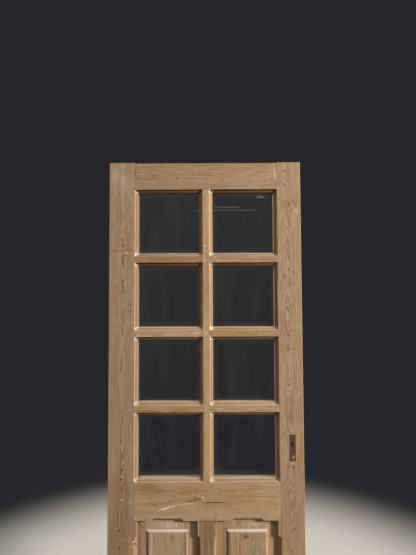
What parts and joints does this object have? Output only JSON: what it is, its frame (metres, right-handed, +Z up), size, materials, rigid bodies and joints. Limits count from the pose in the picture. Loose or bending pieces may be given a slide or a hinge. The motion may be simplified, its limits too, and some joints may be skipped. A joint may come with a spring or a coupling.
{
  "type": "glazed door",
  "caption": "Stripped pine door leaf with moulded glazing bars and clear panes above a wide lock rail and raised and fielded panels.",
  "frame": {"origin": "foot of the hinge edge, at mid thickness, on the face that the hinges are screwed to", "axes": "+X from the hinge edge towards the lock edge, +Y from the moulded front face towards the plain back face, +Z up the door"},
  "size_m": [0.762, 0.044, 1.981],
  "materials": {
    "pine": "bare, stripped and waxed, matt",
    "glass": "clear, polished",
    "rusted_steel": "dark brown rust, matt"
  },
  "bodies": {
    "root": {"hinge_stile": "pine", "lock_stile": "pine", "top_rail": "pine", "lock_rail": "pine", "bottom_rail": "pine", "muntin": "pine", "glazing_bar_upright": "pine", "glazing_bar_left_1": "pine", "glazing_bar_left_2": "pine", "glazing_bar_left_3": "pine", "glazing_bar_right_1": "pine", "glazing_bar_right_2": "pine", "glazing_bar_right_3": "pine", "panel_left": "pine", "panel_right": "pine", "pane_left_1": "glass", "pane_left_2": "glass", "pane_left_3": "glass", "pane_left_4": "glass", "pane_right_1": "glass", "pane_right_2": "glass", "pane_right_3": "glass", "pane_right_4": "glass", "bead_left_1": "pine", "bead_left_2": "pine", "bead_left_3": "pine", "bead_left_4": "pine", "bead_right_1": "pine", "bead_right_2": "pine", "bead_right_3": "pine", "bead_right_4": "pine", "wedges_hinge_stile": "pine", "wedges_lock_stile": "pine", "keyhole_plate": "rusted_steel"}
  },
  "joints": []
}
